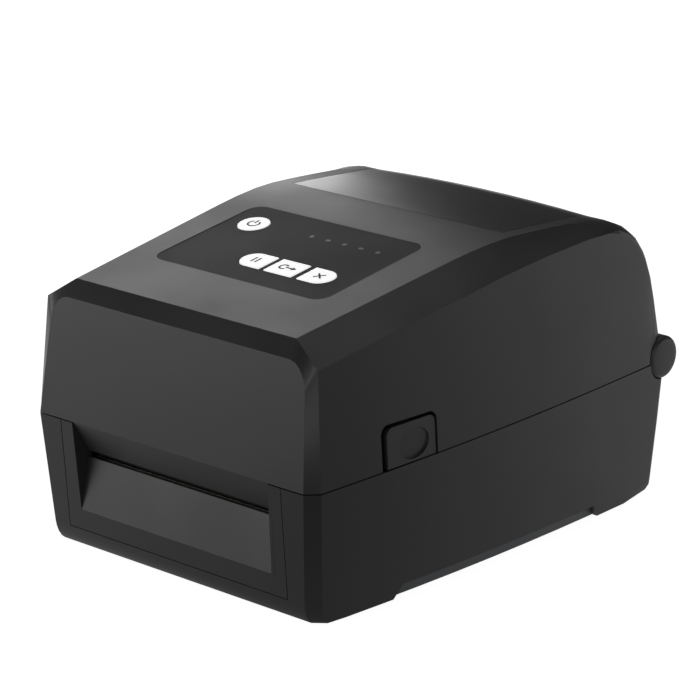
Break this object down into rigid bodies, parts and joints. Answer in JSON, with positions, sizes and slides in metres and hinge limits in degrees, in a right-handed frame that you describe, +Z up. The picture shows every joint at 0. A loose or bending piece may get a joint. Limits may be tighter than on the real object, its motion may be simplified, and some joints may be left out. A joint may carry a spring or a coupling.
{
  "type": "desktop label printer",
  "caption": "Desktop thermal-transfer label printer with a rear-hinged cover, smoked window, key panel, front label slot and a side latch each side.",
  "frame": {"origin": "centre of the overall plan box, on the surface the feet stand on", "axes": "+Z up, front with the label slot towards -Y, +X to the right side seen from the front"},
  "size_m": [0.1842, 0.26, 0.1503],
  "materials": {
    "housing": "fine textured black",
    "inner": "textured dark grey",
    "bezel": "fine textured black",
    "smoked": "smoked translucent, polished",
    "panel": "satin film",
    "white": "satin white",
    "amber": "moulded amber",
    "natural": "natural acetal",
    "steel": "plated",
    "aluminium": "extruded",
    "rubber": "matt",
    "board": "solder mask green",
    "port_metal": "tinned",
    "brass": "turned",
    "ceramic": "glazed ceramic",
    "light": "diffuse light pipe"
  },
  "bodies": {
    "base": {"lower_housing": "housing", "bottom_pan": "inner", "rubber_feet": "rubber", "housing_screws": "steel", "front_bezel": "bezel", "media_tray": "inner", "platen_frame": "steel", "platen_bushings": "natural", "idler_axle": "steel", "gear_bracket": "steel", "drive_motor": "steel", "tear_bar": "steel", "main_board": "board", "dc_inlet": "panel", "usb_port": "port_metal", "network_port": "port_metal", "serial_port": "port_metal", "rear_port_panel": "inner", "hinge_rod": "steel", "hinge_caps": "housing", "sensor_rail": "steel"},
    "cover": {"top_cover": "housing", "catch_plates": "steel", "window": "smoked", "control_panel": "panel", "status_lights": "light", "panel_board": "board", "head_carriage": "inner", "carriage_screws": "steel", "head_pivot_pins": "steel", "head_leaf_spring": "steel"},
    "platen": {"platen_shaft": "steel", "platen_rubber": "rubber", "platen_gear": "natural"},
    "idler": {"idler_gear": "natural"},
    "pinion": {"motor_pinion": "brass"},
    "left_holder": {"roll_holder_left": "inner", "media_guide_left": "amber", "rack_left": "natural"},
    "right_holder": {"roll_holder_right": "inner", "media_guide_right": "amber", "rack_right": "natural"},
    "left_hub": {"roll_hub_left": "amber"},
    "right_hub": {"roll_hub_right": "amber"},
    "guide_gear": {"guide_pinion": "natural"},
    "sensor": {"media_sensor": "panel"},
    "left_latch": {"latch_left": "housing"},
    "right_latch": {"latch_right": "housing"},
    "power_key": {"power_button": "white"},
    "pause_key": {"pause_button": "white"},
    "feed_key": {"feed_button": "white"},
    "cancel_key": {"cancel_button": "white"},
    "head": {"head_bracket": "steel", "print_head": "ceramic", "heat_sink": "aluminium"},
    "ribbon_supply": {"ribbon_supply_spindle": "amber"},
    "ribbon_takeup": {"ribbon_takeup_spindle": "amber", "takeup_gear": "natural"}
  },
  "joints": [
    {"name": "cover_hinge", "type": "hinge", "parent": "base", "child": "cover", "pos_m": [0, 0.1195, 0.072], "axis": [-1, 0, 0], "range_deg": [0, 88]},
    {"name": "platen_spin", "type": "hinge", "parent": "base", "child": "platen", "pos_m": [0, -0.1085, 0.0405], "axis": [1, 0, 0], "continuous": true},
    {"name": "idler_spin", "type": "hinge", "parent": "base", "child": "idler", "pos_m": [-0.0735, -0.07952, 0.03274], "axis": [1, 0, 0], "continuous": true},
    {"name": "pinion_spin", "type": "hinge", "parent": "base", "child": "pinion", "pos_m": [-0.0735, -0.0549, 0.02839], "axis": [1, 0, 0], "continuous": true},
    {"name": "left_holder_slide", "type": "slide", "parent": "base", "child": "left_holder", "axis": [1, 0, 0], "range_m": [0, 0.044]},
    {"name": "right_holder_slide", "type": "slide", "parent": "base", "child": "right_holder", "axis": [1, 0, 0], "range_m": [-0.044, 0]},
    {"name": "guide_gear_spin", "type": "hinge", "parent": "base", "child": "guide_gear", "pos_m": [0, -0.035, 0.042], "axis": [0, 0, 1], "range_deg": [0, 320]},
    {"name": "left_hub_spin", "type": "hinge", "parent": "left_holder", "child": "left_hub", "pos_m": [-0.056, 0.035, 0.076], "axis": [1, 0, 0], "continuous": true},
    {"name": "right_hub_spin", "type": "hinge", "parent": "right_holder", "child": "right_hub", "pos_m": [0.056, 0.035, 0.076], "axis": [1, 0, 0], "continuous": true},
    {"name": "sensor_slide", "type": "slide", "parent": "base", "child": "sensor", "axis": [1, 0, 0], "range_m": [-0.021, 0.021]},
    {"name": "left_latch_pull", "type": "slide", "parent": "base", "child": "left_latch", "axis": [0, -1, 0], "range_m": [0, 0.0026], "stiffness_N_per_m": 300},
    {"name": "right_latch_pull", "type": "slide", "parent": "base", "child": "right_latch", "axis": [0, -1, 0], "range_m": [0, 0.0026], "stiffness_N_per_m": 300},
    {"name": "power_press", "type": "slide", "parent": "cover", "child": "power_key", "axis": [0, 0.1571, -0.9876], "range_m": [0, 0.0008], "stiffness_N_per_m": 400},
    {"name": "pause_press", "type": "slide", "parent": "cover", "child": "pause_key", "axis": [0, 0.1571, -0.9876], "range_m": [0, 0.0008], "stiffness_N_per_m": 400},
    {"name": "feed_press", "type": "slide", "parent": "cover", "child": "feed_key", "axis": [0, 0.1571, -0.9876], "range_m": [0, 0.0008], "stiffness_N_per_m": 400},
    {"name": "cancel_press", "type": "slide", "parent": "cover", "child": "cancel_key", "axis": [0, 0.1571, -0.9876], "range_m": [0, 0.0008], "stiffness_N_per_m": 400},
    {"name": "head_float", "type": "hinge", "parent": "cover", "child": "head", "pos_m": [0, -0.084, 0.061], "axis": [-1, 0, 0], "range_deg": [0, 1.5], "stiffness_Nm_per_rad": 6},
    {"name": "ribbon_supply_spin", "type": "hinge", "parent": "cover", "child": "ribbon_supply", "pos_m": [0, -0.045, 0.106], "axis": [1, 0, 0], "continuous": true},
    {"name": "ribbon_takeup_spin", "type": "hinge", "parent": "cover", "child": "ribbon_takeup", "pos_m": [0, -0.09, 0.099], "axis": [1, 0, 0], "continuous": true}
  ],
  "couplings": [
    {"joint": "idler_spin", "follows": "platen_spin", "ratio": -0.66667},
    {"joint": "pinion_spin", "follows": "platen_spin", "ratio": 1.7143},
    {"joint": "right_holder_slide", "follows": "left_holder_slide", "ratio": -1},
    {"joint": "guide_gear_spin", "follows": "left_holder_slide", "rad_per_m": 125}
  ]
}
